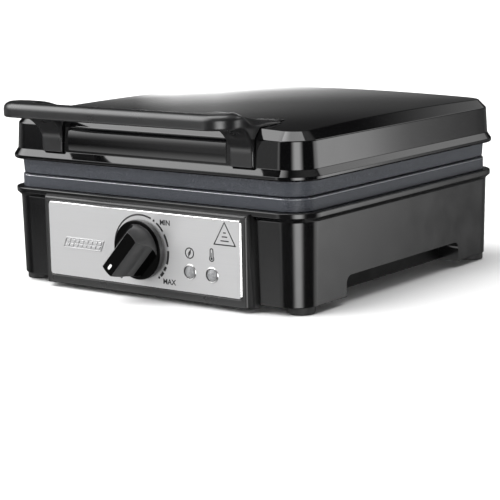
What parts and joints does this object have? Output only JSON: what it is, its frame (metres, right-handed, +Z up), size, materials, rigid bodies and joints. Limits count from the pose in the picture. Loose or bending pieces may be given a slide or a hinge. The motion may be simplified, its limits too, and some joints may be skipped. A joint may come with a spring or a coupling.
{
  "type": "waffle maker",
  "caption": "Square electric waffle maker with a hinged lid, two cast grid plates, a turn knob and lamps on a steel front panel, and a wide bar handle.",
  "frame": {"origin": "middle of the whole outline, handle and hinge included, on the surface that the feet stand on", "axes": "+X to the right as seen from the control panel, +Y to the hinge side, +Z up; the handle and the knob face -Y"},
  "size_m": [0.2828, 0.335, 0.1432],
  "materials": {
    "black_plastic": "satin moulded black",
    "gloss_black": "polished black",
    "brushed_steel": "fine satin brushing",
    "sheet_steel": "aluminised sheet",
    "screw_steel": "zinc plated",
    "heater_steel": "oxidised tube",
    "coated_aluminium": "speckled non-stick coat",
    "rubber": "matte",
    "clear_lens": "frosted clear",
    "brass": "turned",
    "copper": "drawn tube",
    "ceramic": "matte",
    "white_plastic": "matte",
    "wire_sleeve": "glass fibre sleeve"
  },
  "bodies": {
    "base": {"base_housing": "black_plastic", "base_bottom_cover": "black_plastic", "rubber_feet": "rubber", "cover_screws": "screw_steel", "control_box": "black_plastic", "control_panel_plate": "brushed_steel", "lamp_bezels": "brushed_steel", "lamp_lenses": "clear_lens", "lamp_bodies": "ceramic", "thermostat_bracket": "sheet_steel", "thermostat_bushing": "brass", "thermostat_nut": "brass", "thermostat_body": "ceramic", "thermostat_sensor": "copper", "lower_waffle_plate": "coated_aluminium", "lower_heating_element": "heater_steel", "lower_element_terminals": "screw_steel", "lower_heat_reflector": "sheet_steel", "lower_plate_screws": "screw_steel", "hinge_brackets": "black_plastic", "hinge_pins": "screw_steel", "hinge_bracket_screws": "screw_steel", "cord_gland": "rubber", "terminal_block": "ceramic", "thermal_fuse": "sheet_steel", "internal_wires": "wire_sleeve"},
    "lid": {"lid_cover": "gloss_black", "lid_front_panel": "gloss_black", "handle": "black_plastic", "handle_screws": "screw_steel", "upper_waffle_plate": "coated_aluminium", "upper_heating_element": "heater_steel", "upper_element_terminals": "screw_steel", "upper_heat_reflector": "sheet_steel", "upper_plate_screws": "screw_steel", "lid_hinge_arms": "black_plastic", "hinge_arm_screws": "screw_steel"},
    "knob": {"control_knob": "gloss_black", "knob_pointer_mark": "white_plastic", "knob_spring_clip": "screw_steel", "thermostat_shaft": "screw_steel"}
  },
  "joints": [
    {"name": "lid_hinge", "type": "hinge", "parent": "base", "child": "lid", "pos_m": [0, 0.16, 0.089], "axis": [-1, 0, 0], "range_deg": [0, 100]},
    {"name": "knob_turn", "type": "hinge", "parent": "base", "child": "knob", "pos_m": [0, -0.13, 0.0375], "axis": [0, 1, 0], "range_deg": [0, 275]}
  ]
}
